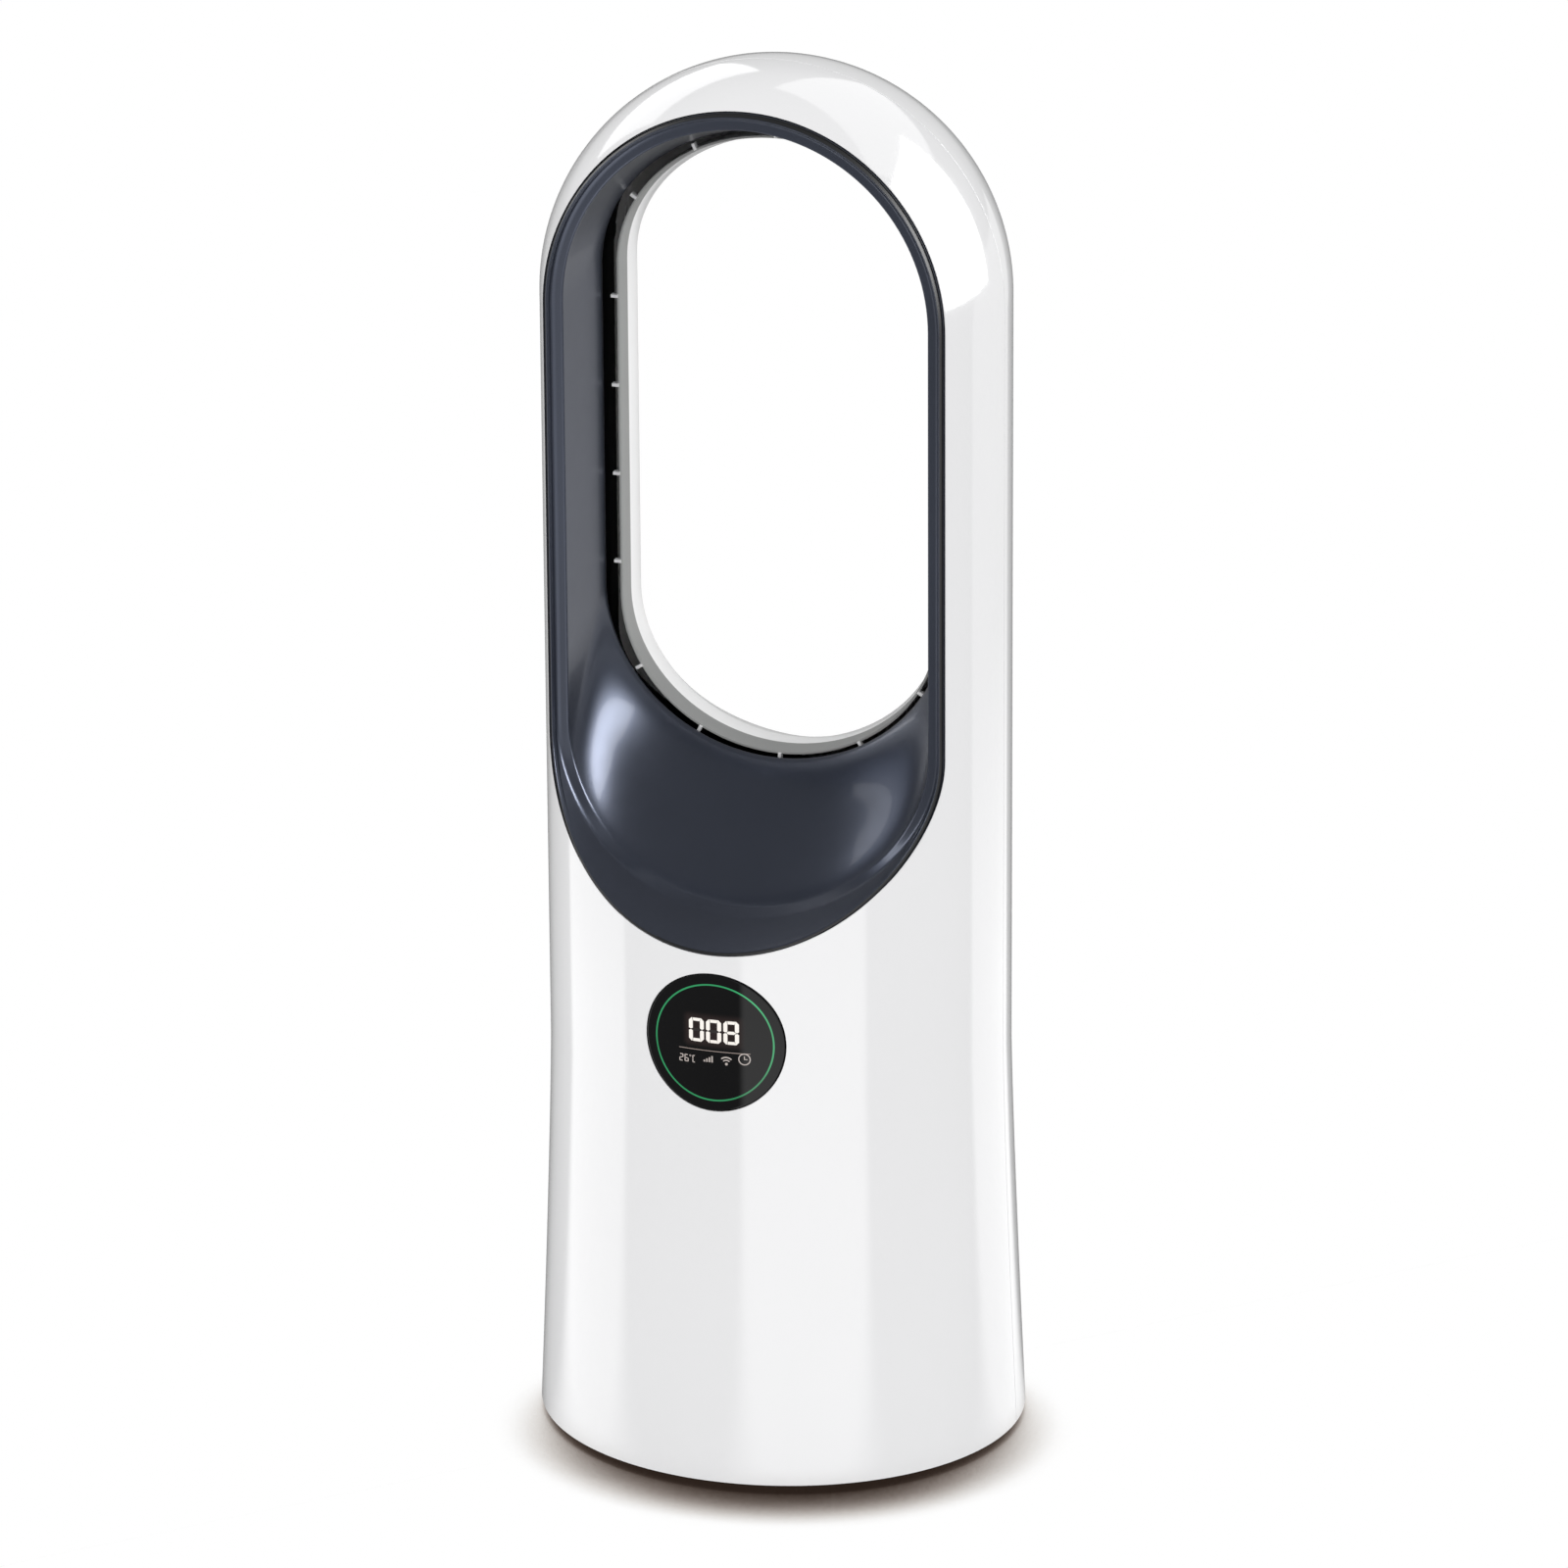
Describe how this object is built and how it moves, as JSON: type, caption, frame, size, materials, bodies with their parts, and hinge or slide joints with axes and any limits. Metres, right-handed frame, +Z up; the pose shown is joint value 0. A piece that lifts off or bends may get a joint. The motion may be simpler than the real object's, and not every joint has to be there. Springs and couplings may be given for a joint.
{
  "type": "bladeless fan",
  "caption": "Bladeless tower fan: a tall white capsule with a dark-lined window that blows air, a round touch display, a rear filter cover and a hidden swivel base.",
  "frame": {"origin": "on the floor, under the middle of the tower, on the swivel axis", "axes": "+Z up; the front, with the display, faces -Y; +X is to the right seen from the front"},
  "size_m": [0.213, 0.199, 0.607],
  "materials": {
    "shell_white": "gloss white moulded plastic",
    "liner_slate": "gloss slate-grey moulded plastic",
    "ring_white": "satin white moulded plastic",
    "lens_black": "polished black display window",
    "light_green": "lit green light guide",
    "rubber_black": "matt black rubber",
    "plastic_black": "fine-grained black moulded plastic",
    "plastic_grey": "matt grey moulded plastic",
    "acetal_white": "natural acetal",
    "steel": "bright zinc-plated steel",
    "aluminium": "satin aluminium",
    "brass": "turned brass",
    "board_green": "green circuit board",
    "filter_paper": "pleated filter paper"
  },
  "bodies": {
    "base": {"base_plate": "plastic_black", "base_weight": "steel", "glide_ring": "acetal_white", "pivot_spindle": "steel", "swivel_gear": "acetal_white", "rubber_foot_1": "rubber_black", "rubber_foot_2": "rubber_black", "rubber_foot_3": "rubber_black", "rubber_foot_4": "rubber_black", "spindle_screw_1": "steel", "spindle_screw_2": "steel", "spindle_screw_3": "steel"},
    "tower": {"front_shell": "shell_white", "rear_shell": "shell_white", "throat_liner": "liner_slate", "nozzle_ring": "ring_white", "nozzle_seal": "rubber_black", "display_lens": "lens_black", "light_ring": "light_green", "digit_module": "plastic_grey", "display_board": "board_green", "display_housing": "plastic_black", "display_cable": "rubber_black", "turntable_deck": "plastic_black", "spindle_bush": "brass", "retaining_washer": "steel", "retaining_clip": "steel", "power_board": "board_green", "air_sensor": "plastic_black", "power_inlet": "plastic_black", "oscillation_motor": "steel", "motor_screw_1": "steel", "motor_screw_2": "steel", "shell_screw_1": "steel", "shell_screw_2": "steel", "shell_screw_3": "steel", "shell_screw_4": "steel", "bulkhead": "plastic_grey", "inlet_bellmouth": "plastic_black", "blower_casing": "plastic_grey", "vibration_mount_1": "rubber_black", "vibration_mount_2": "rubber_black", "vibration_mount_3": "rubber_black", "shaft_bearing": "steel", "diffuser": "plastic_grey", "blower_motor": "aluminium", "motor_isolator": "rubber_black", "motor_cap": "plastic_grey"},
    "pinion": {"drive_pinion": "acetal_white", "pinion_shaft": "steel"},
    "rotor": {"impeller": "plastic_black", "motor_shaft": "steel", "impeller_nut": "brass"},
    "rear_cover": {"intake_cover": "shell_white", "filter_frame": "plastic_grey", "filter_media": "filter_paper"}
  },
  "joints": [
    {"name": "swivel", "type": "hinge", "parent": "base", "child": "tower", "pos_m": [0, 0, 0.02], "axis": [0, 0, 1], "range_deg": [-45, 45]},
    {"name": "pinion_spin", "type": "hinge", "parent": "tower", "child": "pinion", "pos_m": [0, -0.039, 0.012], "axis": [0, 0, 1], "range_deg": [-150.5, 150.5]},
    {"name": "impeller_spin", "type": "hinge", "parent": "tower", "child": "rotor", "pos_m": [0, 0, 0.14], "axis": [0, 0, 1], "continuous": true},
    {"name": "cover_slide", "type": "slide", "parent": "tower", "child": "rear_cover", "axis": [0, 1, 0], "range_m": [0, 0.09]}
  ],
  "couplings": [
    {"joint": "pinion_spin", "follows": "swivel", "ratio": 3.3333}
  ]
}
